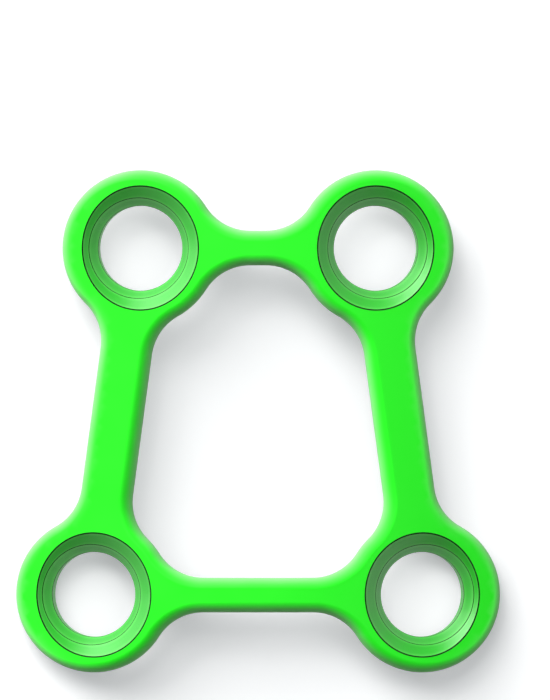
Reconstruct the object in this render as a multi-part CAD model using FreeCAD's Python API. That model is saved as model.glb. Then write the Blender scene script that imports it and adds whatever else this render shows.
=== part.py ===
import FreeCAD, Part
import math
import os

Vector = FreeCAD.Vector

# Driving sizes of the plate, in millimetres and degrees

pitch_narrow = 13.6        # between the two holes of the narrow end
pitch_wide = 19.0          # between the two holes of the wide end
pitch_long = 20.0          # from the narrow pair to the wide pair

screw_diameter = 4.5       # shaft of the bone screw
screw_clearance = 0.4      # on the diameter, between that shaft and its hole
seat_width = 0.45          # of the cone that the screw head bears on, from above
seat_angle = 70.0          # included angle of that cone
lead_width = 0.66          # of the wider cone above the seat, from above
lead_angle = 90.0          # included angle of that cone
ring_wall = 0.94           # from the countersink's rim to the outside of its ring
mouth_round = 0.12         # radius on the lower mouth of each hole

cross_bar_width = 2.0
side_bar_width = 3.0
blend_radius = 3.0         # where a bar runs into a ring

thickness = 1.9
bone_radius = 33.5         # of the hollow side, which lies on the bone
edge_reach = 0.62          # how far the rounded edge reaches in from the outline

# Finish of the modelled surfaces, not sizes of the plate

station_step = 0.6         # between the sections of the rounded edge
section_steps = 16         # stretches that make up one section
sew_gap = 0.001

# Sizes that follow from the driving ones

bore_radius = (screw_diameter + screw_clearance) / 2
seat_radius = bore_radius + seat_width
rim_radius = seat_radius + lead_width
ring_radius = rim_radius + ring_wall

lead_slope = math.tan(math.radians(lead_angle / 2))
seat_slope = math.tan(math.radians(seat_angle / 2))
lead_depth = lead_width / lead_slope
seat_depth = lead_depth + seat_width / seat_slope

middle_radius = bone_radius + thickness / 2
outer_radius = bone_radius + thickness

arch_centre = Vector(0, 0, -middle_radius)
arch_axis = Vector(0, 1, 0)

narrow_left = Vector(-pitch_narrow / 2, pitch_long / 2, 0)
narrow_right = Vector(pitch_narrow / 2, pitch_long / 2, 0)
wide_left = Vector(-pitch_wide / 2, -pitch_long / 2, 0)
wide_right = Vector(pitch_wide / 2, -pitch_long / 2, 0)


class Straight:
    """A straight stretch of outline, with the free space on its left."""

    def __init__(self, start, end):
        self.start = start
        self.end = end
        self.length = (end - start).Length

    def at(self, share):
        along = (self.end - self.start).normalize()
        return self.start + (self.end - self.start) * share, Vector(-along.y, along.x, 0)


class Round:
    """An arc of outline, with the free space on its left: a hollow arc curves round that space."""

    def __init__(self, centre, start, end, hollow):
        self.centre = centre
        self.radius = (start - centre).Length
        self.hollow = hollow
        self.first = math.atan2(start.y - centre.y, start.x - centre.x)
        turn = math.atan2(end.y - centre.y, end.x - centre.x) - self.first
        if hollow:
            self.turn = turn % math.tau
        else:
            self.turn = -(-turn % math.tau)
        self.length = self.radius * abs(self.turn)

    def at(self, share):
        angle = self.first + self.turn * share
        radial = Vector(math.cos(angle), math.sin(angle), 0)
        outward = radial * -1 if self.hollow else radial
        return self.centre + radial * self.radius, outward


def blend_on(length, width):
    """Radius of the blends at a bar's ends, smaller where the bar is too short for two of them."""
    room = (length ** 2 / 4 + width ** 2 / 4 - ring_radius ** 2) / (2 * ring_radius - width)
    return min(blend_radius, 0.98 * room)


def outline(rings, widths):
    """Closed outline in plan that passes the rings in turn, with the free space on its left.

    Each width is that of the bar from its ring to the next one.
    """
    leaving = []
    arriving = []
    for place, ring in enumerate(rings):
        following = rings[(place + 1) % len(rings)]
        width = widths[place]
        length = (following - ring).Length
        along = (following - ring).normalize()
        left = Vector(-along.y, along.x, 0)
        radius = blend_on(length, width)
        across = width / 2 + radius
        reach = math.sqrt((ring_radius + radius) ** 2 - across ** 2)
        for end, way, blends in ((ring, along, leaving), (following, along * -1, arriving)):
            centre = end + way * reach + left * across
            on_ring = end + (centre - end) * (ring_radius / (ring_radius + radius))
            blends.append((centre, on_ring, centre - left * radius))

    stretches = []
    for place, ring in enumerate(rings):
        _, ring_start, _ = arriving[place - 1]
        centre, ring_end, bar_start = leaving[place]
        next_centre, next_ring, bar_end = arriving[place]
        stretches.append(Round(ring, ring_start, ring_end, hollow=False))
        stretches.append(Round(centre, ring_end, bar_start, hollow=True))
        stretches.append(Straight(bar_start, bar_end))
        stretches.append(Round(next_centre, bar_end, next_ring, hollow=True))
    return stretches


def arch_frame(x, outward):
    """Upward normal of the arched middle surface at x, and the way in that surface out of the outline."""
    height = math.sqrt(middle_radius ** 2 - x ** 2)
    normal = Vector(x / middle_radius, 0, height / middle_radius)
    along = Vector(outward.y, -outward.x, -outward.y * x / height).normalize()
    return normal, normal.cross(along)


def edge_section(point, outward):
    """Points of the rounded edge in one section, from the bone side to the outer side.

    The section is half an ellipse about the middle surface. It meets both faces
    of the plate without a corner, and from above it just reaches the outline.
    """
    x = point.x
    for _ in range(3):
        normal, leave = arch_frame(x, outward)
        reach = math.hypot(edge_reach * leave.dot(outward), thickness / 2 * normal.dot(outward))
        x = point.x - reach * outward.x
    y = point.y - reach * outward.y
    middle = arch_centre + Vector(0, y, 0) + normal * middle_radius
    points = []
    for step in range(section_steps + 1):
        angle = math.pi * (step / section_steps - 0.5)
        outwards = leave * (edge_reach * math.cos(angle))
        upwards = normal * (thickness / 2 * math.sin(angle))
        points.append(middle + outwards + upwards)
    return points


def edge_surface(stretch):
    """The rounded edge along one stretch of outline."""
    steps = max(6, math.ceil(stretch.length / station_step))
    sections = [edge_section(*stretch.at(step / steps)) for step in range(steps + 1)]
    surface = Part.BSplineSurface()
    surface.interpolate(sections)
    return surface


def skin(radius, border_wires):
    """The face of the plate at this radius of the arch, inside the outer border and round the window."""
    drum_length = 2 * (pitch_long + 2 * ring_radius)
    drum_start = arch_centre - arch_axis * (drum_length / 2)
    drum = Part.makeCylinder(radius, drum_length, drum_start, arch_axis)
    wall = max(drum.Faces, key=lambda face: face.Area)
    wall.rotate(arch_centre, arch_axis, 180)
    pieces, _ = wall.generalFuse(border_wires, sew_gap / 10)
    inside = [face for face in pieces.Faces if face.BoundBox.YLength < drum_length / 2]
    return max(inside, key=lambda face: face.BoundBox.YLength)


def make_blank():
    """The arched plate with its rounded edges and its window, before the holes are cut."""
    borders = [
        outline(
            [narrow_left, narrow_right, wide_right, wide_left],
            [cross_bar_width, side_bar_width, cross_bar_width, side_bar_width],
        ),
        outline(
            [narrow_left, wide_left, wide_right, narrow_right],
            [side_bar_width, cross_bar_width, side_bar_width, cross_bar_width],
        ),
    ]
    edges = [[edge_surface(stretch) for stretch in border] for border in borders]
    faces = [surface.toShape() for border in edges for surface in border]
    for radius, side in ((bone_radius, 2), (outer_radius, 3)):
        wires = []
        for border in edges:
            curves = [surface.vIso(surface.bounds()[side]).toShape() for surface in border]
            wires.append(Part.Wire(Part.sortEdges(curves)[0]))
        faces.append(skin(radius, wires))
    shell = Part.makeCompound(faces)
    shell.sewShape(sew_gap)
    solid = Part.Solid(shell.Shells[0])
    if solid.Volume < 0:
        solid.reverse()
    return solid


def hole_axis(place):
    """Point where a hole's axis leaves the outer face, and the direction in which its screw comes out.

    The axis leans outwards with the arch. It leans a little less than the face
    does, so that rim, seat and bore look concentric from straight above.
    """
    slope = math.asin(place.x / outer_radius)
    rim_shift = rim_radius * lead_slope
    lean = slope * rim_shift / (rim_shift + seat_depth)
    out = Vector(math.sin(lean), 0, math.cos(lean))
    x = place.x + seat_depth * out.x
    height = math.sqrt(outer_radius ** 2 - x ** 2) - middle_radius
    return Vector(x, place.y, height), out


def hole_cutters(place):
    """Lead-in cone, seat cone and bore of one hole, about its axis."""
    top, out = hole_axis(place)
    above = thickness
    below = 2 * thickness
    lead_top = rim_radius + above * lead_slope
    lead = Part.makeCone(seat_radius, lead_top, lead_depth + above, Vector(0, 0, -lead_depth))
    seat = Part.makeCone(bore_radius, seat_radius, seat_depth - lead_depth, Vector(0, 0, -seat_depth))
    bore = Part.makeCylinder(bore_radius, above + below, Vector(0, 0, -below))
    for cutter in (lead, seat, bore):
        cutter.Placement = FreeCAD.Placement(top, FreeCAD.Rotation(Vector(0, 0, 1), out))
    return [lead, seat, bore]


def lower_mouth(solid, place):
    """The edge where a hole opens on the bone side."""
    top, out = hole_axis(place)
    found = []
    for edge in solid.Edges:
        middle = edge.valueAt((edge.FirstParameter + edge.LastParameter) / 2)
        from_arch = math.hypot(middle.x, middle.z - arch_centre.z)
        from_hole = (middle - top).cross(out).Length
        if abs(from_arch - bone_radius) < sew_gap and abs(from_hole - bore_radius) < sew_gap:
            found.append(edge)
    return found


def make_plate():
    """The finished plate, standing on z = 0."""
    places = [narrow_left, narrow_right, wide_left, wide_right]
    plate = make_blank()
    cutters = [cutter for place in places for cutter in hole_cutters(place)]
    plate = plate.cut(cutters).Solids[0]
    mouths = [edge for place in places for edge in lower_mouth(plate, place)]
    plate = plate.makeFillet(mouth_round, mouths)
    lowest = plate.optimalBoundingBox(False, False).ZMin
    plate.translate(Vector(0, 0, -lowest))
    return plate.Solids[0], lowest


plate, lowest = make_plate()
os.makedirs("parts", exist_ok=True)
plate.exportStep("parts/bone_plate.step")

box = plate.optimalBoundingBox(False, False)
print("plate", round(box.XLength, 3), round(box.YLength, 3), round(box.ZLength, 3), "mm")
print("volume", round(plate.Volume, 3), "mm3, valid", plate.isValid(), "solids", len(plate.Solids))
for name, place in (
    ("narrow_left", narrow_left),
    ("narrow_right", narrow_right),
    ("wide_left", wide_left),
    ("wide_right", wide_right),
):
    top, out = hole_axis(place)
    seat = top - out * seat_depth
    print(name, "direction", [round(value, 12) for value in out])
    print("  lower edge of the seat", [round(value, 10) for value in (seat.x, seat.y, seat.z - lowest)])
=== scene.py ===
# %% [markdown]
# # A small bone plate, dressed for the camera
#
# The real object is a little frame of anodised titanium, 28 by 29 mm, that a surgeon screws
# across a bone. It has four countersunk rings, slim bars between them, and one gentle arch.
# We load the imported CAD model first, because its place and size are fixed, and then build a
# finer surface for the same plate and give it its finish.

import math

import bpy
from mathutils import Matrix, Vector
from mathutils.geometry import delaunay_2d_cdt


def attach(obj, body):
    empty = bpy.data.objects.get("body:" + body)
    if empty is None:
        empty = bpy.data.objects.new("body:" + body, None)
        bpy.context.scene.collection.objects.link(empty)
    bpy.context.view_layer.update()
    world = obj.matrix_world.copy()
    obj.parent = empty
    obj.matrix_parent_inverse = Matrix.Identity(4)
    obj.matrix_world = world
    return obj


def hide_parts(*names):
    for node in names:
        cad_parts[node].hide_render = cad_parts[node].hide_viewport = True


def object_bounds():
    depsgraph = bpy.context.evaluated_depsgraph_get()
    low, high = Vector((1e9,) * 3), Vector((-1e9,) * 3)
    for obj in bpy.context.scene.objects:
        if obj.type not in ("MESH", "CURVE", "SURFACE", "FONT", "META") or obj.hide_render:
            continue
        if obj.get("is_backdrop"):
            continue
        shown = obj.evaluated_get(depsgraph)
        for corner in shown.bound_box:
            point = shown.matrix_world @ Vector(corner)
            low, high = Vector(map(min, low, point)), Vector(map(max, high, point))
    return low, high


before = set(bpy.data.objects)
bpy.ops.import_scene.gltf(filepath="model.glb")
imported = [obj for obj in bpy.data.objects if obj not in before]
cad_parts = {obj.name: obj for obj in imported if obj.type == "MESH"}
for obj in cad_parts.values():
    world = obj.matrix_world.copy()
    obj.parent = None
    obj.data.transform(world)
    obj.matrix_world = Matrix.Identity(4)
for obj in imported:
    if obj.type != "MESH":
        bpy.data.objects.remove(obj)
scene = bpy.context.scene
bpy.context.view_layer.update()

# %% [markdown]
# ## Measures
#
# These are the same sizes that the CAD source uses, in millimetres. Blender works in metres,
# so every point is multiplied by `MM` once, when a mesh is made. The arch is a cylinder about
# a line along Y, well below the plate. Heights are counted from that line until the mesh is
# made and set down on z = 0.

# %% Sizes of the plate
MM = 0.001

PITCH_NARROW, PITCH_WIDE, PITCH_LONG = 13.6, 19.0, 20.0
BORE, SEAT, RIM, RING = 2.45, 2.9, 3.56, 4.5
LEAD_ANGLE, SEAT_ANGLE = 90, 70
LEAD_SLOPE = math.tan(math.radians(LEAD_ANGLE / 2))
SEAT_SLOPE = math.tan(math.radians(SEAT_ANGLE / 2))
LEAD_DEPTH = (RIM - SEAT) / LEAD_SLOPE
SEAT_DEPTH = LEAD_DEPTH + (SEAT - BORE) / SEAT_SLOPE
CROSS_BAR, SIDE_BAR, BLEND = 2.0, 3.0, 3.0
THICKNESS, EDGE_REACH = 1.9, 0.62
BONE_RADIUS = 33.5
MIDDLE_RADIUS = BONE_RADIUS + THICKNESS / 2
OUTER_RADIUS = BONE_RADIUS + THICKNESS

NARROW_LEFT = Vector((-PITCH_NARROW / 2, PITCH_LONG / 2))
NARROW_RIGHT = Vector((PITCH_NARROW / 2, PITCH_LONG / 2))
WIDE_LEFT = Vector((-PITCH_WIDE / 2, -PITCH_LONG / 2))
WIDE_RIGHT = Vector((PITCH_WIDE / 2, -PITCH_LONG / 2))
print("countersink depth in mm:", round(SEAT_DEPTH, 3))

# %% [markdown]
# ## The outline
#
# Seen from above, the outline is only straights and arcs: an arc round each ring, a hollow
# blend, a bar's side, and another blend. We walk along it in even steps and note, at each
# step, the point and the direction that leads out of the metal. Walking evenly matters,
# because these steps become the columns of the rounded edge, and even columns shade evenly.

# %% Walk along straights and arcs
STEP = 0.2
FEWEST_ON_STRAIGHT, FEWEST_ON_ARC = 2, 4


def along_straight(start, end):
    """Points of a straight side with their outward directions, without its last point."""
    count = max(FEWEST_ON_STRAIGHT, math.ceil((end - start).length / STEP))
    way = (end - start).normalized()
    out = Vector((-way.y, way.x))
    return [(start.lerp(end, step / count), out) for step in range(count)]


def along_arc(centre, start, end, hollow):
    """Points of an arc with their outward directions. A hollow arc curves round free space."""
    radius = (start - centre).length
    first = math.atan2(start.y - centre.y, start.x - centre.x)
    turn = math.atan2(end.y - centre.y, end.x - centre.x) - first
    turn = turn % math.tau if hollow else -(-turn % math.tau)
    count = max(FEWEST_ON_ARC, math.ceil(abs(turn) * radius / STEP))
    walk = []
    for step in range(count):
        angle = first + turn * step / count
        radial = Vector((math.cos(angle), math.sin(angle)))
        walk.append((centre + radial * radius, -radial if hollow else radial))
    return walk


quarter = along_arc(Vector((0, 0)), Vector((0, RING)), Vector((RING, 0)), hollow=False)
print("steps in a quarter of a ring:", len(quarter))

# %% [markdown]
# The walk needs to know where each arc begins and ends. A blend touches both the ring and
# the bar's side, so its centre lies one blend radius outside each of them. That is a right
# triangle, and one square root gives the place. The same function makes the outside and the
# window: only the order of the rings differs, so that the free space stays on the left.

# %% Join them round the rings
def outline(rings, widths):
    """The closed outline past these rings, with the free space on its left."""
    leaving, arriving = [], []
    for place, ring in enumerate(rings):
        following = rings[(place + 1) % len(rings)]
        way = (following - ring).normalized()
        left = Vector((-way.y, way.x))
        across = widths[place] / 2 + BLEND
        reach = math.sqrt((RING + BLEND) ** 2 - across ** 2)
        for end, heading, blends in ((ring, way, leaving), (following, -way, arriving)):
            centre = end + heading * reach + left * across
            on_ring = end + (centre - end) * (RING / (RING + BLEND))
            blends.append((centre, on_ring, centre - left * BLEND))
    walk = []
    for place, ring in enumerate(rings):
        centre, ring_end, bar_start = leaving[place]
        next_centre, next_ring, bar_end = arriving[place]
        walk += along_arc(ring, arriving[place - 1][1], ring_end, hollow=False)
        walk += along_arc(centre, ring_end, bar_start, hollow=True)
        walk += along_straight(bar_start, bar_end)
        walk += along_arc(next_centre, bar_end, next_ring, hollow=True)
    return walk


outer_walk = outline(
    [NARROW_LEFT, NARROW_RIGHT, WIDE_RIGHT, WIDE_LEFT],
    [CROSS_BAR, SIDE_BAR, CROSS_BAR, SIDE_BAR],
)
window_walk = outline(
    [NARROW_LEFT, WIDE_LEFT, WIDE_RIGHT, NARROW_RIGHT],
    [SIDE_BAR, CROSS_BAR, SIDE_BAR, CROSS_BAR],
)
print("steps round the outside and round the window:", len(outer_walk), len(window_walk))

# %% [markdown]
# ## The mesh so far, as lists
#
# The whole surface is known as formulas, so we can give each vertex its exact normal. That
# keeps the broad faces free of the faint ripples that averaged normals would leave. Each
# vertex also carries three numbers for the materials: how strongly it belongs to a painted
# dark line of shade, how deep down a hole it lies, and how near it is to an edge, where the
# skin is painted pale for wear and for a highlight. Each face says which of three finishes it
# has.

# %% One list for each thing that a vertex carries
points, normals, faces, finishes = [], [], [], []
line_marks, depths, edge_turns = [], [], []
# The third finish is painted shade: dark lines on the corner strips of the holes.
BLASTED, TURNED, PAINTED_LINE = 0, 1, 2
print("finish numbers:", {"blasted": BLASTED, "turned": TURNED, "painted_lines": PAINTED_LINE})


def add_point(point, normal, line=0.0, depth=0.0, edge=0.0):
    """Store one vertex and say which number it has."""
    points.append(Vector(point))
    normals.append(Vector(normal).normalized())
    line_marks.append(line)
    depths.append(depth)
    edge_turns.append(edge)
    return len(points) - 1


def add_face(corners, finish):
    """Store one face and which finish it has."""
    faces.append(corners)
    finishes.append(finish)


def weave(lower, upper, finish, flip=False):
    """Quads between two closed rows of vertices that have the same count."""
    count = len(lower)
    for place in range(count):
        after = (place + 1) % count
        quad = (lower[place], lower[after], upper[after], upper[place])
        add_face(quad[::-1] if flip else quad, finish)


# %% [markdown]
# ## The rounded edge
#
# In section the edge is half an ellipse that leaves both faces without a corner, so there
# is nothing sharp against the tissue. At every step of the walk we lay this section across
# the arch. For that we need two directions at each place: straight out of the arch, and
# along the arch out of the metal.

# %% Directions on the arch
def arch_frame(x, out):
    """Upward normal of the arch at x, and the way in the arched surface out of the outline."""
    height = math.sqrt(MIDDLE_RADIUS ** 2 - x ** 2)
    normal = Vector((x / MIDDLE_RADIUS, 0, height / MIDDLE_RADIUS))
    along = Vector((out.y, -out.x, -out.y * x / height)).normalized()
    return normal, normal.cross(along)


lean = math.degrees(math.asin(WIDE_RIGHT.x / MIDDLE_RADIUS))
print("the arch leans at a wide ring by", round(lean, 1), "degrees")

# %% [markdown]
# From above, the outermost point of a section should just touch the outline. How far in the
# section has to move depends on how the arch leans where it ends up. So we move it, look
# again and move it once more, and after three rounds it hardly changes.

# %% Lay the edge sections
SECTION_STEPS = 24
SETTLING_ROUNDS = 3


def edge_rows(walk):
    """The rounded edge along a walk, as rows from the bone side to the outer side."""
    rows = [[] for _ in range(SECTION_STEPS + 1)]
    for point, out in walk:
        out3 = Vector((out.x, out.y, 0))
        x = point.x
        for _ in range(SETTLING_ROUNDS):
            normal, leave = arch_frame(x, out)
            reach = math.hypot(EDGE_REACH * leave.dot(out3), THICKNESS / 2 * normal.dot(out3))
            x = point.x - reach * out.x
        middle = Vector((x, point.y - reach * out.y, math.sqrt(MIDDLE_RADIUS ** 2 - x ** 2)))
        for step, row in enumerate(rows):
            angle = math.pi * (step / SECTION_STEPS - 0.5)
            across, above = math.cos(angle), math.sin(angle)
            place = middle + leave * (EDGE_REACH * across) + normal * (THICKNESS / 2 * above)
            facing = leave * (THICKNESS / 2 * across) + normal * (EDGE_REACH * above)
            inwards = (point - place.xy).dot(out) / EDGE_REACH
            edge = 1 - inwards if facing.z > 0 else across
            row.append(add_point(place, facing, edge=min(max(edge, 0.0), 1.0)))
    for lower, upper in zip(rows, rows[1:]):
        weave(lower, upper, BLASTED, flip=True)
    return rows


outer_rows = edge_rows(outer_walk)
window_rows = edge_rows(window_walk)
print("points on the rounded edges:", len(points))

# %% [markdown]
# ## The screw holes
#
# A screw hole is turned, not drawn: a bore, a narrow seat for the screw's head and a wider
# cone above it, all round one leaning axis. The holes lean outwards with the arch, a little
# less than the face does. Cutting them with a Boolean modifier would leave ragged triangles
# at the rims, so each hole is built from its own axis instead.

# %% Axis of a hole
def hole_axis(place):
    """Where a hole's axis leaves the outer face, and the way its screw comes out."""
    slope = math.asin(place.x / OUTER_RADIUS)
    rim_shift = RIM * LEAD_SLOPE
    lean = slope * rim_shift / (rim_shift + SEAT_DEPTH)
    out = Vector((math.sin(lean), 0, math.cos(lean)))
    x = place.x + SEAT_DEPTH * out.x
    return Vector((x, place.y, math.sqrt(OUTER_RADIUS ** 2 - x ** 2))), out


for place in (NARROW_RIGHT, WIDE_RIGHT):
    lean = math.degrees(math.asin(hole_axis(place)[1].x))
    print("hole at", [round(value, 1) for value in place], "leans by", round(lean, 1), "degrees")

# %% [markdown]
# A cone meets the arch in a curve that has no simple name, but one straight line of the cone
# meets it in a point, and that is only a quadratic equation. Where two walls meet, a turned
# and deburred part has a tiny radius, not a knife edge, and light catches on it. So we also
# need a way to round a corner off.

# %% Meet the arch and round a corner
RIM_BREAK, CONE_BREAK, MOUTH = 0.05, 0.03, 0.12
ARC_STEPS = 4
DARK_MARK, SOFT_MARK, NO_MARK = 1.0, 0.6, 0.0


def reach_arch(start, way, radius):
    """How far along a line the arch of this radius lies, on the side nearest the start."""
    a = way.x ** 2 + way.z ** 2
    b = start.x * way.x + start.z * way.z
    c = start.x ** 2 + start.z ** 2 - radius ** 2
    root = math.sqrt(b * b - a * c)
    return min(((-b + root) / a, (-b - root) / a), key=abs)


def on_arch(point, radius):
    """The nearest point on the arch of this radius."""
    size = math.hypot(point.x, point.z)
    return Vector((point.x * radius / size, point.y, point.z * radius / size))


def rounded(before, corner, after, normal_before, normal_after, line):
    """Points that round a corner off: each a place, a normal, a line mark and its wear."""
    made = []
    for step in range(ARC_STEPS + 1):
        t = step / ARC_STEPS
        place = before * (1 - t) ** 2 + corner * (2 * t * (1 - t)) + after * t ** 2
        made.append((place, normal_before.lerp(normal_after, t), line * (0 < t < 1), 1.0))
    return made


top, out = hole_axis(WIDE_LEFT)
print("wall of a wide hole along its axis in mm:", round(-reach_arch(top, out, BONE_RADIUS), 3))

# %% [markdown]
# Now one spoke: the points that a fine pencil would mark going from the outer face over the
# rim, down the wide cone, over its edge to the narrow cone, into the bore and out at the
# bone side. Each wall has one exact normal, and only the corners turn from one to the next.
# The first and last point are shared with the broad faces, which don't wear there.

# %% One spoke of a hole, from the outer face to the bone side
LEAD_STRETCHES, SEAT_STRETCHES, BORE_STRETCHES = 4, 3, 3


def plain_wall(high, low, normal, stretches):
    """The points between two corners of a wall, which carry no mark and no wear."""
    shares = [step / stretches for step in range(1, stretches)]
    return [(high.lerp(low, share), normal, NO_MARK, 0.0) for share in shares]


def hole_spoke(top, out, spoke):
    """Points down the wall of a hole in one direction from its axis."""
    lead_start = top + spoke * RIM
    lead_way = out + spoke * LEAD_SLOPE
    rim = lead_start + lead_way * reach_arch(lead_start, lead_way, OUTER_RADIUS)
    face_normal = Vector((rim.x, 0, rim.z)).normalized()
    away = (spoke - face_normal * spoke.dot(face_normal)).normalized()
    lead_down = -lead_way.normalized()
    lead_normal = (out * LEAD_SLOPE - spoke).normalized()
    seat_down = -(out + spoke * SEAT_SLOPE).normalized()
    seat_normal = (out * SEAT_SLOPE - spoke).normalized()
    edge = top - out * LEAD_DEPTH + spoke * SEAT
    throat = top - out * SEAT_DEPTH + spoke * BORE
    mouth = throat + out * reach_arch(throat, out, BONE_RADIUS)
    under = -Vector((mouth.x, 0, mouth.z)).normalized()
    under_away = (spoke - under * spoke.dot(under)).normalized()

    spots = rounded(
        on_arch(rim + away * RIM_BREAK, OUTER_RADIUS), rim, rim + lead_down * RIM_BREAK,
        face_normal, lead_normal, DARK_MARK,
    )
    high, low = rim + lead_down * RIM_BREAK, edge - lead_down * CONE_BREAK
    spots += plain_wall(high, low, lead_normal, LEAD_STRETCHES)
    high = edge + seat_down * CONE_BREAK
    spots += rounded(low, edge, high, lead_normal, seat_normal, SOFT_MARK)
    low = throat - seat_down * CONE_BREAK
    spots += plain_wall(high, low, seat_normal, SEAT_STRETCHES)
    high = throat - out * CONE_BREAK
    spots += rounded(low, throat, high, seat_normal, -spoke, DARK_MARK)
    low = mouth + out * MOUTH
    spots += plain_wall(high, low, -spoke, BORE_STRETCHES)
    under_face = on_arch(mouth + under_away * MOUTH, BONE_RADIUS)
    spots += rounded(low, mouth, under_face, -spoke, under, NO_MARK)
    for end in (0, -1):
        spots[end] = (*spots[end][:3], 0.0)
    return spots


print("points down one spoke:", len(hole_spoke(top, out, Vector((0, 1, 0)))))

# %% [markdown]
# A lathe turns the part, and we turn the spoke. Going round in small even steps keeps the
# rim smooth at any zoom. The strips on the corners get a painted dark line of shade.
# Depths are counted from a plane 1 mm above the hole, so that none is negative.

# %% Turn the four holes
TURNS = 192
DEPTH_AT_TOP = 1.0


def turn_hole(place):
    """All rings of one hole, from the outer face to the bone side."""
    top, out = hole_axis(place)
    side = Vector((0, 1, 0))
    cross = out.cross(side)
    rings = []
    for turn in range(TURNS):
        angle = math.tau * turn / TURNS
        spoke = side * math.cos(angle) + cross * math.sin(angle)
        spots = hole_spoke(top, out, spoke)
        if not rings:
            rings = [[] for _ in spots]
        for ring, (spot, normal, line, pale_share) in zip(rings, spots):
            depth = (top - spot).dot(out) + DEPTH_AT_TOP
            ring.append(add_point(spot, normal, line, depth, pale_share))
    lines = [line for _, _, line, _ in spots]
    for upper, lower, line, next_line in zip(rings, rings[1:], lines, lines[1:]):
        weave(upper, lower, PAINTED_LINE if line or next_line else TURNED)
    return rings


holes = [turn_hole(place) for place in (NARROW_LEFT, NARROW_RIGHT, WIDE_LEFT, WIDE_RIGHT)]
print("rings down each hole:", len(holes[0]))
print("depths in a hole from", round(min(filter(None, depths)), 2), "to", round(max(depths), 2))

# %% [markdown]
# ## The two broad faces
#
# Between the rounded edge and the holes lies a plain piece of the arch. Its border points
# already exist, and we fill the middle with a grid of points and let Blender's constrained
# triangulation join them. It works in the flat plan, and each point is then lifted onto
# its arch. One big many-sided face would be simpler to write, but it couldn't follow the arch.
# First we need to tell metal from free space: a point is inside a loop if a line from it to
# the far left or right crosses the loop an odd number of times.

# %% Inside or outside a loop
def inside(point, loop):
    """Whether a point of the plan lies inside a closed loop."""
    x, y = point
    hit = False
    for (x1, y1), (x2, y2) in zip(loop, loop[1:] + loop[:1]):
        if (y1 > y) != (y2 > y) and x < x1 + (y - y1) * (x2 - x1) / (y2 - y1):
            hit = not hit
    return hit


def in_metal(point, loops):
    """Whether a point lies inside the first loop and in none of the others."""
    return inside(point, loops[0]) and not any(inside(point, gap) for gap in loops[1:])


window_loop = [tuple(point) for point, _ in window_walk]
print("the middle of the plan lies in the window:", inside((0, 0), window_loop))

# %% [markdown]
# A grid point that comes very near a border would make thin, badly shaped triangles, so we
# leave such points out. Sorting the border's points into square cells first means that each
# grid point is compared with a few of them and not with all. The rows of an even triangular
# grid lie 0.866 of the spacing apart, and 15 mm to each side takes in the whole plate.

# %% Grid points in the metal, clear of its borders
GRID, CLEAR = 0.45, 0.16
ROW_SHARE = 0.866
HALF_PLAN = 15


def sort_into_cells(spots):
    """Points of the plan, sorted into square cells as wide as CLEAR."""
    cells = {}
    for x, y in spots:
        cells.setdefault((round(x / CLEAR), round(y / CLEAR)), []).append((x, y))
    return cells


def crowded(point, cells):
    """Whether a point comes nearer than CLEAR to one in the cells."""
    column, row = (round(value / CLEAR) for value in point)
    near = [
        spot
        for i in (-1, 0, 1)
        for j in (-1, 0, 1)
        for spot in cells.get((column + i, row + j), [])
    ]
    return any(math.dist(spot, point) < CLEAR for spot in near)


def grid_points(loops):
    """Points of an even triangular grid between the loops."""
    cells = sort_into_cells(corner for loop in loops for corner in loop)
    rows, columns = round(HALF_PLAN / (GRID * ROW_SHARE)), round(HALF_PLAN / GRID)
    grid = [
        ((column + row % 2 / 2) * GRID, row * GRID * ROW_SHARE)
        for row in range(-rows, rows + 1)
        for column in range(-columns, columns + 1)
    ]
    return [point for point in grid if not crowded(point, cells) and in_metal(point, loops)]


print("grid points are", GRID, "mm apart and", CLEAR, "mm from the borders")

# %% [markdown]
# The triangulation gets all points and the border's links, and joins them. It also fills the
# window and the holes, so we keep only the triangles whose middle lies in the metal. Points
# nearer to each other than `MERGE` would count as one.

# %% Fill one face
MERGE = 1e-6


def fill_face(border_rows, radius, upwards):
    """Triangles of one broad face between its border rows, which come outer border first."""
    loops = [[tuple(points[index].xy) for index in row] for row in border_rows]
    flat = [corner for loop in loops for corner in loop]
    known = [index for row in border_rows for index in row]
    links = []
    for loop in loops:
        start, count = len(links), len(loop)
        links += [(start + place, start + (place + 1) % count) for place in range(count)]
    side = 1 if upwards else -1
    for x, y in grid_points(loops):
        height = math.sqrt(radius ** 2 - x ** 2)
        flat.append((x, y))
        known.append(add_point((x, y, height), (side * x, 0, side * height)))
    spots, _, cut, origins, _, _ = delaunay_2d_cdt(
        [Vector(corner) for corner in flat], links, [], 0, MERGE
    )
    for triangle in cut:
        middle = sum((spots[corner] for corner in triangle), Vector((0, 0))) / 3
        if in_metal(middle, loops):
            corners = tuple(known[origins[corner][0]] for corner in triangle)
            add_face(corners if upwards else corners[::-1], BLASTED)


before = len(faces)
fill_face([outer_rows[-1], window_rows[-1]] + [hole[0] for hole in holes], OUTER_RADIUS, True)
fill_face([outer_rows[0], window_rows[0]] + [hole[-1] for hole in holes], BONE_RADIUS, False)
print("triangles on the two broad faces:", len(faces) - before)

# %% [markdown]
# ## One closed mesh
#
# All rows share their border vertices, so the surface is closed without any welding. We
# stand it on the floor by its lowest point, as the CAD source does, and hand Blender our
# own normals, because they come from the formulas and are better than averaged ones.

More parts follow.
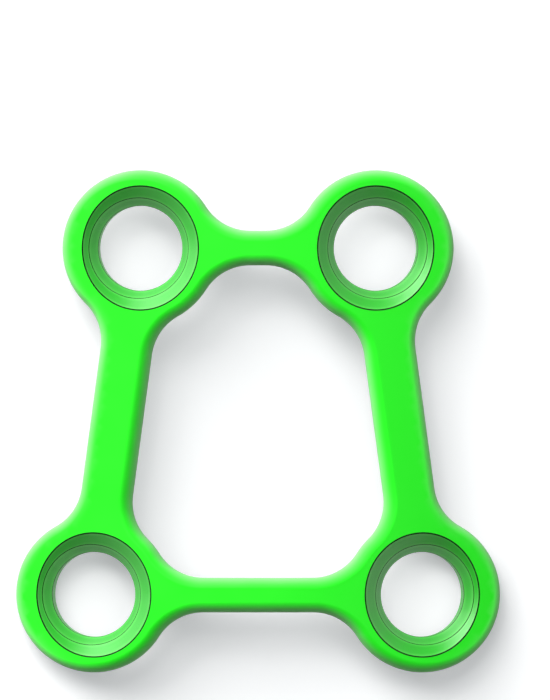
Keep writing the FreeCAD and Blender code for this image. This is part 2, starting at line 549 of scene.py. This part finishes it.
# %% Make the mesh
lowest = min(point.z for point in points)
mesh = bpy.data.meshes.new("plate")
mesh.from_pydata([(point - Vector((0, 0, lowest))) * MM for point in points], [], faces)
mesh.polygons.foreach_set("use_smooth", [True] * len(mesh.polygons))
mesh.polygons.foreach_set("material_index", finishes)
carried_numbers = {"painted_line_share": line_marks, "hole_depth": depths, "edge_turn": edge_turns}
for name, values in carried_numbers.items():
    mesh.attributes.new(name, "FLOAT", "POINT").data.foreach_set("value", values)
mesh.update()
mesh.normals_split_custom_set_from_vertices(normals)
plate = bpy.data.objects.new("plate", mesh)
scene.collection.objects.link(plate)
print("vertices:", len(mesh.vertices), "faces:", len(mesh.polygons))

# %% [markdown]
# A mesh from formulas should be tested like any other part. In a closed surface every edge
# has exactly two faces, and the volume, summed from small tetrahedra, has to agree with the
# CAD solid's 467 cubic millimetres.

# %% Test the mesh
volume = 0.0
for polygon in mesh.polygons:
    first, *rest = (mesh.vertices[index].co for index in polygon.vertices)
    for second, third in zip(rest, rest[1:]):
        volume += first.dot(second.cross(third)) / 6
edge_use = {}
for polygon in mesh.polygons:
    for key in polygon.edge_keys:
        edge_use[key] = edge_use.get(key, 0) + 1
open_edges = sum(count != 2 for count in edge_use.values())
triangles = sum(len(polygon.vertices) - 2 for polygon in mesh.polygons)
print("volume in mm3:", round(volume / MM ** 3, 2))
print("triangles:", triangles, "open edges:", open_edges)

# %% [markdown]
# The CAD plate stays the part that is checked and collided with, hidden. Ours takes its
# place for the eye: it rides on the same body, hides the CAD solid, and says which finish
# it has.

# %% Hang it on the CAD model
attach(plate, "root")
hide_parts("bone_plate")
print("the plate stands for the CAD solid bone_plate")

# %% [markdown]
# ## The finish
#
# The real plate is titanium, blasted to a fine even grain and then anodised, which grows a
# hard clear skin whose thickness makes the colour. A paint-like texture would look wrong
# from close by, so the finish is made of a skin that drifts a little in colour, the grain
# of the blasting, and a paler edge. That edge is partly wear, where tumbling has thinned
# the skin, and partly a painted highlight along the rounded edge. All of it is measured in
# millimetres on the plate itself, so it stays put when the camera moves.
#
# A material is a tree of nodes, and the same two steps come up all the time: make a node, and
# give one of its inputs a value or a link. So these get helpers first.

# %% Make a node and feed it
def node(tree, kind, **settings):
    """A new node with its settings."""
    made = tree.nodes.new(kind)
    for name, value in settings.items():
        setattr(made, name, value)
    return made


def feed(tree, socket, value):
    """Link another socket to this one, or set its plain value."""
    if isinstance(value, bpy.types.NodeSocket):
        tree.links.new(value, socket)
    else:
        socket.default_value = value


print("helpers for nodes:", node.__name__, "and", feed.__name__)

# %% [markdown]
# Most of the other nodes only do a sum or mix two colours. A Mix node has sockets for numbers
# and vectors too, all under the same names, so its colour sockets are found by their place.

# %% Sums and colours
FACTOR, FIRST_COLOUR, SECOND_COLOUR, MIXED_COLOUR = 0, 6, 7, 2


def maths(tree, operation, *values, clamp=False):
    """A Math node."""
    made = node(tree, "ShaderNodeMath", operation=operation, use_clamp=clamp)
    for socket, value in zip(made.inputs, values):
        feed(tree, socket, value)
    return made.outputs[0]


def blend_colour(tree, factor, first, second):
    """A Mix node for two colours."""
    made = node(tree, "ShaderNodeMix", data_type="RGBA")
    for place, value in ((FACTOR, factor), (FIRST_COLOUR, first), (SECOND_COLOUR, second)):
        feed(tree, made.inputs[place], value)
    return made.outputs[MIXED_COLOUR]


print("sockets of the two colours in a Mix node:", FIRST_COLOUR, "and", SECOND_COLOUR)

# %% [markdown]
# Two things tell a material where on the plate it is. Noise in the object's own coordinates
# gives patterns of a known size, and the numbers that the mesh carries mark edges and holes.

# %% Patterns and numbers on the plate itself
NOISE_DETAIL = 2.0


def noise(tree, size):
    """Noise on the object itself, with its size in millimetres."""
    place = node(tree, "ShaderNodeTexCoord")
    in_mm = node(tree, "ShaderNodeVectorMath", operation="SCALE")
    feed(tree, in_mm.inputs["Scale"], 1 / MM)
    feed(tree, in_mm.inputs[0], place.outputs["Object"])
    made = node(tree, "ShaderNodeTexNoise")
    feed(tree, made.inputs["Scale"], maths(tree, "DIVIDE", 1.0, size))
    feed(tree, made.inputs["Detail"], NOISE_DETAIL)
    feed(tree, made.inputs["Vector"], in_mm.outputs[0])
    return made.outputs["Fac"]


def carried(tree, name):
    """A number that the mesh carries in each vertex."""
    return node(tree, "ShaderNodeAttribute", attribute_name=name).outputs["Fac"]


print("numbers that the mesh carries:", list(carried_numbers))

# %% [markdown]
# ## Effects that the finishes share
#
# The blasted skin and the turned walls come out of the same bath, so they share two effects.
# Each effect is a node group, built once and then placed in a material with its own values.
# One is the colour of the skin, which drifts in soft patches and grows pale where it is worn,
# and on the rounded edge also as a painted highlight. The other is the fine grain, which
# breaks up the gloss and dents the surface.
# A group is a tree of its own, with sockets where values come in and go out.

# %% A new group
def new_group(name, inputs, outputs):
    """An empty shader node group with these sockets, each given as a name and a kind."""
    group = bpy.data.node_groups.new(name, "ShaderNodeTree")
    for label, kind in inputs:
        group.interface.new_socket(label, in_out="INPUT", socket_type=kind)
    for label, kind in outputs:
        group.interface.new_socket(label, in_out="OUTPUT", socket_type=kind)
    return group, node(group, "NodeGroupInput").outputs, node(group, "NodeGroupOutput").inputs


print("node groups before the first effect:", len(bpy.data.node_groups))

# %% [markdown]
# The colour of an anodised skin comes from its thickness. A bath never grows it quite evenly,
# so the green drifts towards that of a thinner skin in soft patches. Where the skin is worn,
# and on the outside's rounded edge as a painted highlight, it turns pale, and the same
# patches make that paleness a little uneven.

# %% Colour of the anodised skin
PALENESS_BASE, PALENESS_SPREAD = 0.7, 0.6

skin_colour, given, put_out = new_group(
    "skin_colour",
    [
        ("Skin", "NodeSocketColor"),
        ("Thin Skin", "NodeSocketColor"),
        ("Worn Skin", "NodeSocketColor"),
        ("Patch in mm", "NodeSocketFloat"),
        ("Wear", "NodeSocketFloat"),
    ],
    [("Colour", "NodeSocketColor")],
)
patches = noise(skin_colour, given["Patch in mm"])
drift = blend_colour(skin_colour, patches, given["Skin"], given["Thin Skin"])
uneven = maths(skin_colour, "MULTIPLY_ADD", patches, PALENESS_SPREAD, PALENESS_BASE)
# The pale skin stands for wear, and on the outside's rounded edge also for a painted highlight.
pale_share = maths(skin_colour, "MULTIPLY", given["Wear"], uneven, clamp=True)
feed(skin_colour, put_out["Colour"], blend_colour(skin_colour, pale_share, drift, given["Worn Skin"]))
print("group", skin_colour.name, "has", len(skin_colour.nodes), "nodes")

# %% [markdown]
# Blasting with fine beads leaves a grain of a few hundredths of a millimetre. From afar it
# only softens the gloss, and from close by it shows as tiny dents. One noise does both: its
# value is the height of the dents, and it also moves the roughness up and down a little.

# %% Grain of the blasting
NOISE_MIDDLE = 0.5

fine_grain, given, put_out = new_group(
    "fine_grain",
    [
        ("Grain in mm", "NodeSocketFloat"),
        ("Roughness", "NodeSocketFloat"),
        ("Spread", "NodeSocketFloat"),
    ],
    [("Height", "NodeSocketFloat"), ("Roughness", "NodeSocketFloat")],
)
grains = noise(fine_grain, given["Grain in mm"])
feed(fine_grain, put_out["Height"], grains)
centred = maths(fine_grain, "SUBTRACT", grains, NOISE_MIDDLE)
rougher = maths(fine_grain, "MULTIPLY_ADD", centred, given["Spread"], given["Roughness"])
feed(fine_grain, put_out["Roughness"], rougher)
print("group", fine_grain.name, "has", len(fine_grain.nodes), "nodes")

# %% [markdown]
# ## Three finishes on one plate
#
# All three start from the same Principled shader. Most numbers are plain values on its own
# sockets, and only what changes over the surface comes in through nodes. Four helpers do
# what the finishes have in common.

# %% Start a finish and place a group in it
def start_finish(name, **plain_values):
    """A material whose Principled shader has these plain values."""
    material = bpy.data.materials.new(name)
    material.use_nodes = True
    tree = material.node_tree
    shader = tree.nodes["Principled BSDF"]
    for label, value in plain_values.items():
        shader.inputs[label.replace("_", " ")].default_value = value
    return material, tree, shader


def placed(tree, group, **values):
    """Place a group in a material. An underscore in a name stands for a space."""
    made = node(tree, "ShaderNodeGroup", node_tree=group)
    for name, value in values.items():
        feed(tree, made.inputs[name.replace("_", " ")], value)
    return made.outputs


print("finishes are made from", len(bpy.data.node_groups), "shared groups")

# %% [markdown]
# The green is so strong that it would dye the white paper round the plate, which the picture
# doesn't show. So for light that goes on from the plate to the paper, the colour is a dull
# grey-green. The dents are far too small to be modelled, so a Bump node tilts the shading.

# %% Paint and dents
BOUNCE_GREY = (0.22, 0.30, 0.22, 1.0)


def paint(tree, shader, colour):
    """Give the shader its colour, and the paper round it a duller one."""
    path = node(tree, "ShaderNodeLightPath")
    seen = blend_colour(tree, path.outputs["Is Diffuse Ray"], colour, BOUNCE_GREY)
    feed(tree, shader.inputs["Base Color"], seen)


def dent(tree, shader, height, depth):
    """Press a pattern of heights into the surface. A height of 1 is this many millimetres."""
    bump = node(tree, "ShaderNodeBump")
    feed(tree, bump.inputs["Distance"], depth * MM)
    feed(tree, bump.inputs["Height"], height)
    feed(tree, shader.inputs["Normal"], bump.outputs["Normal"])


print("light goes on from the plate as", BOUNCE_GREY[:3])

# %% [markdown]
# The outside is matt and evenly green. Its skin is thinnest where the plates rub on each
# other in the tumbling drum, which is out on the rounded edge, so the paleness follows the
# number `edge_turn`. That pale edge is partly this wear and partly a painted highlight all
# round the rounded edge. Squaring that number keeps the paleness near the very edge. A weak,
# rough coat stands for the clear skin over the metal.

# %% The blasted and anodised skin
SKIN_GREEN = (0.018, 1.0, 0.014, 1.0)
THIN_GREEN = (0.030, 1.0, 0.024, 1.0)
# Pale green of the rounded edge: partly wear, partly a painted highlight.
WORN_AND_HIGHLIT_GREEN = (0.34, 1.0, 0.32, 1.0)
PALENESS_POWER = 2.0
BEAD_DENT = 0.002

blasted, tree, shader = start_finish(
    "blasted_green",
    IOR=1.25,
    Coat_Weight=0.1,
    Coat_Roughness=0.42,
    Coat_IOR=1.5,
)
edge = maths(tree, "POWER", carried(tree, "edge_turn"), PALENESS_POWER)
colour = placed(
    tree, skin_colour, Skin=SKIN_GREEN, Thin_Skin=THIN_GREEN, Worn_Skin=WORN_AND_HIGHLIT_GREEN,
    Patch_in_mm=2.9, Wear=edge,
)
paint(tree, shader, colour["Colour"])
grain = placed(tree, fine_grain, Grain_in_mm=0.05, Roughness=0.55, Spread=0.12)
feed(tree, shader.inputs["Roughness"], grain["Roughness"])
dent(tree, shader, grain["Height"], BEAD_DENT)
mesh.materials.append(blasted)
print(blasted.name, "has", len(tree.nodes), "nodes")

# %% [markdown]
# The cones and bores were cut after the blasting, so they are smoother and more glossy. The
# skin on them is a deeper green, which is partly painted shade that darkens the holes. A
# turning tool leaves fine marks round and round. Seen in one spoke they are a wave down the
# wall, so a sine of the depth down the hole makes them. Too fine to see from afar, they still
# stretch every highlight up and down the wall, as on all turned metal. The skin is a little
# paler towards the corners, where a deburring tool went.

# %% The turned walls of the holes
# Deeper green of the hole walls: partly painted shade in the holes.
WALL_GREEN = (0.004, 0.52, 0.003, 1.0)
WALL_THIN = (0.007, 0.56, 0.006, 1.0)
WALL_WORN = (0.06, 0.66, 0.05, 1.0)
MARK_PITCH, MARK_HEIGHT, WALL_DENT = 0.05, 1.7, 0.0015

turned, tree, shader = start_finish("turned_green", IOR=2.0)
colour = placed(
    tree, skin_colour, Skin=WALL_GREEN, Thin_Skin=WALL_THIN, Worn_Skin=WALL_WORN,
    Patch_in_mm=1.6, Wear=carried(tree, "edge_turn"),
)
paint(tree, shader, colour["Colour"])
grain = placed(tree, fine_grain, Grain_in_mm=0.04, Roughness=0.38, Spread=0.08)
feed(tree, shader.inputs["Roughness"], grain["Roughness"])
turns = maths(tree, "MULTIPLY", carried(tree, "hole_depth"), math.tau / MARK_PITCH)
marks = maths(tree, "MULTIPLY_ADD", maths(tree, "SINE", turns), MARK_HEIGHT, grain["Height"])
dent(tree, shader, marks, WALL_DENT)
mesh.materials.append(turned)
print(turned.name, "has", len(tree.nodes), "nodes")

# %% [markdown]
# The picture draws a thin dark line where two turned surfaces meet. On the real part that is
# the tiny corner radius, which looks past the lamps and so lies in shade. We paint the strips
# on it dark and dull, as painted shade. The number that marks them is low between the two
# cones, so that painted line is softer.

# %% Painted shade: the fine dark lines where two turned surfaces meet
# Painted shade: near black on the corner strips, a softer dark green between the cones.
PAINTED_SHADE_GREEN = (0.002, 0.010, 0.002, 1.0)
SOFT_PAINTED_SHADE = (0.03, 0.16, 0.03, 1.0)

painted_lines, tree, shader = start_finish("painted_dark_line", IOR=1.2, Roughness=0.8)
paint(tree, shader, blend_colour(tree, carried(tree, "painted_line_share"), SOFT_PAINTED_SHADE, PAINTED_SHADE_GREEN))
mesh.materials.append(painted_lines)
print("finishes:", [material.name for material in mesh.materials])

# %% [markdown]
# ## Floor, light and camera
#
# The plate lies on plain white paper. A wide flat disc does for the view from above, and a
# low lip all round hides its end in the views from the side. The lip is kept low on purpose:
# a tall white wall would be mirrored in the dark sides of the holes and turn them grey.

# %% The floor and its lip
SWEEP_FLOOR, SWEEP_BEND = 1.0, 0.12
SWEEP_SIDES, SWEEP_STEPS = 96, 12


def paper_sweep():
    """White paper that lies flat under the plate and curls up to a low lip all round."""
    profile = [
        (SWEEP_FLOOR + SWEEP_BEND * math.sin(angle), SWEEP_BEND * (1 - math.cos(angle)))
        for angle in (math.pi / 2 * step / SWEEP_STEPS for step in range(SWEEP_STEPS + 1))
    ]
    corners = [(0, 0, 0)]
    for radius, height in profile:
        for side in range(SWEEP_SIDES):
            angle = math.tau * side / SWEEP_SIDES
            corners.append((radius * math.cos(angle), radius * math.sin(angle), height))
    sheets = [(0, 1 + side, 1 + (side + 1) % SWEEP_SIDES) for side in range(SWEEP_SIDES)]
    for level in range(len(profile) - 1):
        start = 1 + level * SWEEP_SIDES
        over = start + SWEEP_SIDES
        for side in range(SWEEP_SIDES):
            after = (side + 1) % SWEEP_SIDES
            sheets.append((start + side, over + side, over + after, start + after))
    made = bpy.data.meshes.new("paper_sweep")
    made.from_pydata(corners, [], sheets)
    made.polygons.foreach_set("use_smooth", [True] * len(made.polygons))
    return made


floor_mesh = paper_sweep()
floor = bpy.data.objects.new("paper_sweep", floor_mesh)
scene.collection.objects.link(floor)
floor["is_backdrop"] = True
print("paper is flat out to", SWEEP_FLOOR, "m")

# %% [markdown]
# White paper in a photo is nearly pure white, yet it has to show the plate's shadow. So for
# the camera, and for mirrored and clear rays, it is a light grey that the lamps lift to white,
# plus a little glow of its own. Further out, where no shadow falls, it only glows, so that
# the views from the side end in white too. For the light that it throws back at the plate it
# is darker, because strong light from below would wash out the green.

# %% Who sees the paper, and how far from the plate
SHADOW_REACH, ONLY_GLOW = 0.08, 0.25

paper, tree, shader = start_finish(
    "white_paper", Roughness=0.9, Specular_IOR_Level=0.0, Emission_Strength=1.0
)
path = node(tree, "ShaderNodeLightPath")
seen = maths(tree, "MAXIMUM", path.outputs["Is Camera Ray"], path.outputs["Is Glossy Ray"])
seen = maths(tree, "MAXIMUM", seen, path.outputs["Is Transmission Ray"])
place = node(tree, "ShaderNodeTexCoord")
away = node(tree, "ShaderNodeVectorMath", operation="LENGTH")
feed(tree, away.inputs[0], place.outputs["Object"])
ramp = node(tree, "ShaderNodeMapRange")
feed(tree, ramp.inputs["Value"], away.outputs["Value"])
feed(tree, ramp.inputs["From Min"], SHADOW_REACH)
feed(tree, ramp.inputs["From Max"], ONLY_GLOW)
far = ramp.outputs["Result"]
print("paper takes all light within", SHADOW_REACH, "m and only glows beyond", ONLY_GLOW, "m")

# %% [markdown]
# Now the colours of the paper. In the plate's shadow the glow is most of what is left, so a
# touch of blue in it keeps the shadow a cool grey.

# %% White paper that keeps its shadow
def grey(level):
    """A colour without any hue."""
    return (level, level, level, 1.0)


PAPER_SEEN, PAPER_GLOW, PAPER_LIT = 0.82, 0.34, 0.2
COOL_GLOW = (0.96 * PAPER_GLOW, PAPER_GLOW, 1.02 * PAPER_GLOW, 1.0)

tone = blend_colour(tree, far, grey(PAPER_SEEN), grey(0.0))
tone = blend_colour(tree, seen, grey(PAPER_LIT), tone)
feed(tree, shader.inputs["Base Color"], tone)
glow = blend_colour(tree, far, COOL_GLOW, grey(1.0))
glow = blend_colour(tree, seen, grey(0.0), glow)
feed(tree, shader.inputs["Emission Color"], glow)
floor_mesh.materials.append(paper)
print("paper is seen as", PAPER_SEEN, "and throws back", PAPER_LIT)

# %% [markdown]
# Four soft boxes and a very dim sky. The key and the low strip stand at the upper left and
# shade the rounded edges and the countersinks. The top box is high, so its shadows are short
# and close to the plate. A weak fill on the right keeps the far side of the arch from going
# dark. Each box stands 0.7 m from the plate and faces it.

# %% One soft box
LAMP_REACH = 0.7


def soft_box(name, azimuth, elevation, width, height, radiance):
    """A rectangular lamp that faces the plate. Azimuth 0 is at +X and 90 at +Y."""
    a, e = math.radians(azimuth), math.radians(elevation)
    way = Vector((math.cos(a) * math.cos(e), math.sin(a) * math.cos(e), math.sin(e)))
    lamp = bpy.data.lights.new(name, "AREA")
    lamp.shape = "RECTANGLE"
    lamp.size = width
    lamp.size_y = height
    lamp.energy = radiance * math.pi * width * height
    holder = bpy.data.objects.new(name, lamp)
    holder.location = way * LAMP_REACH
    holder.rotation_mode = "QUATERNION"
    holder.rotation_quaternion = way.to_track_quat("Z", "Y")
    scene.collection.objects.link(holder)
    level = radiance * width * height / LAMP_REACH ** 2 * math.sin(e) / math.pi
    print(name, "gives the floor", round(level, 3))
    return level


# %% [markdown]
# Light of 1 on a surface renders its colour just as it is written. Together the boxes and the
# sky light the level floor at about 1.2. The right half of the arch leans away from the key,
# so it gets a little less than 1, and on the whole the green comes out about as written.

# %% All the light
SOFT_BOXES = [
    ("key_box", 127, 40, 0.49, 0.42, 5.8),
    ("top_box", 105, 63, 0.32, 0.28, 5.4),
    ("low_strip", 138, 15, 1.19, 0.28, 3.9),
    ("high_fill", 10, 60, 0.4, 0.4, 1.6),
]
SKY = 0.05

level = sum(soft_box(*numbers) for numbers in SOFT_BOXES)
world = bpy.data.worlds.new("studio")
scene.world = world
world.use_nodes = True
sky = world.node_tree.nodes["Background"]
sky.inputs["Color"].default_value = grey(1.0)
sky.inputs["Strength"].default_value = SKY
print("light on the floor, 1 is plain:", round(level + SKY, 3))

# %% [markdown]
# The picture is a drawing in true plan, without any perspective. A very long lens from far
# above comes closest to that, and it leaves the sides of the plate out of sight. The frame is
# as tall as the picture at its scale, 2 mm above the floor, which is about halfway up the
# plate. Its middle lies above the plate's middle, as in the picture.

# %% The camera
FRAME_TALL, FRAME_X, FRAME_Y = 0.040453, 0.000977, 0.004126
FRAME_LEVEL = 0.002
LENS, SIGHT = 500.0, 10.0

camera_data = bpy.data.cameras.new("camera")
camera_data.lens = LENS
camera_data.clip_end = SIGHT
camera = bpy.data.objects.new("camera", camera_data)
distance = FRAME_TALL / 2 / (camera_data.sensor_width / 2 / LENS)
camera.location = (FRAME_X, FRAME_Y, FRAME_LEVEL + distance)
scene.collection.objects.link(camera)
scene.camera = camera
scene.view_settings.view_transform = "Standard"
print("camera height in m:", round(distance, 3))

# %% Keep the two boxes and finish
view_low, view_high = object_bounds()
view_size = [high - low for low, high in zip(view_low, view_high)]
print("our plate in mm:", [round(side / MM, 3) for side in view_size])
